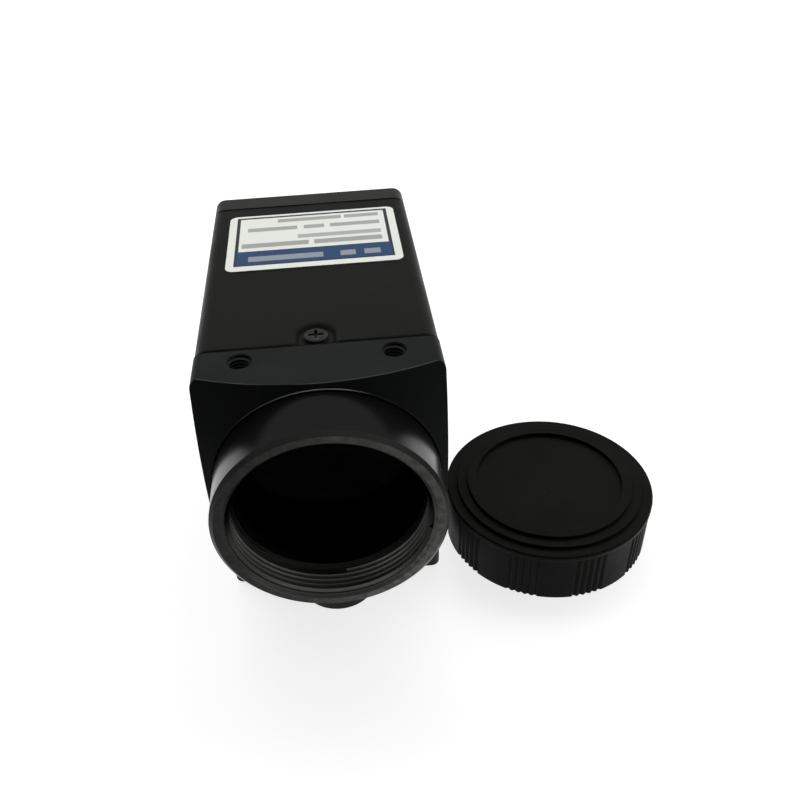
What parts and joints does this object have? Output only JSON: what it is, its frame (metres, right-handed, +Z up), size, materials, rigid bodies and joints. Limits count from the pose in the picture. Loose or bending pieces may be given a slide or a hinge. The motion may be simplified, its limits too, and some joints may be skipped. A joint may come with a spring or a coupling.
{
  "type": "machine vision camera",
  "caption": "Compact block camera body with a threaded lens mount, on a moulded tripod base, with its dust cap lying beside it.",
  "frame": {"origin": "on the lens axis, at the front face of the lens mount ring", "axes": "+Y runs back into the camera along the lens axis, +X is to the right seen from the front, +Z is up"},
  "size_m": [0.064, 0.0657, 0.0401],
  "materials": {
    "anodised_ring": "black anodised, glossy outside, worn on the front rim",
    "black_block": "satin black paint",
    "black_cover": "satin black paint on pressed sheet",
    "black_rear_cap": "satin black paint",
    "filter_glass": "clear coated filter",
    "black_retainer": "matte black anodised",
    "screw_steel": "blackened steel",
    "brass_post": "turned",
    "steel_spacer": "turned",
    "green_board": "solder-masked laminate",
    "ceramic_package": "ceramic",
    "sensor_glass": "polished",
    "chip_plastic": "moulded",
    "header_plastic": "moulded",
    "capacitor_can": "drawn can",
    "ribbon": "polyimide film",
    "gasket_rubber": "matte",
    "connector_metal": "nickel plated",
    "insert_plastic": "moulded",
    "gold_pin": "gold plated",
    "label_film": "printed film",
    "base_plastic": "moulded, fine grain",
    "brass_bush": "turned",
    "cap_plastic": "moulded, matte"
  },
  "bodies": {
    "root": {"lens_mount_ring": "anodised_ring", "filter_glass": "filter_glass", "filter_retainer": "black_retainer", "front_block": "black_block", "sensor_spacers": "steel_spacer", "sensor_board": "green_board", "image_sensor": "ceramic_package", "sensor_window": "sensor_glass", "front_standoffs": "brass_post", "main_board": "green_board", "processor_chip": "chip_plastic", "board_headers": "header_plastic", "mid_standoffs": "brass_post", "interface_board": "green_board", "capacitors": "capacitor_can", "rear_posts": "brass_post", "connector_board": "green_board", "connector_flex": "ribbon", "housing_cover": "black_cover", "cover_screws": "screw_steel", "label": "label_film", "rear_seal": "gasket_rubber", "rear_cap": "black_rear_cap", "rear_screws": "screw_steel", "connector_gasket": "gasket_rubber", "connector_shell": "connector_metal", "connector_insert": "insert_plastic", "connector_pins": "gold_pin", "connector_nut": "connector_metal", "mounting_base": "base_plastic", "tripod_insert": "brass_bush", "base_screws": "screw_steel", "dust_cap": "cap_plastic"}
  },
  "joints": []
}
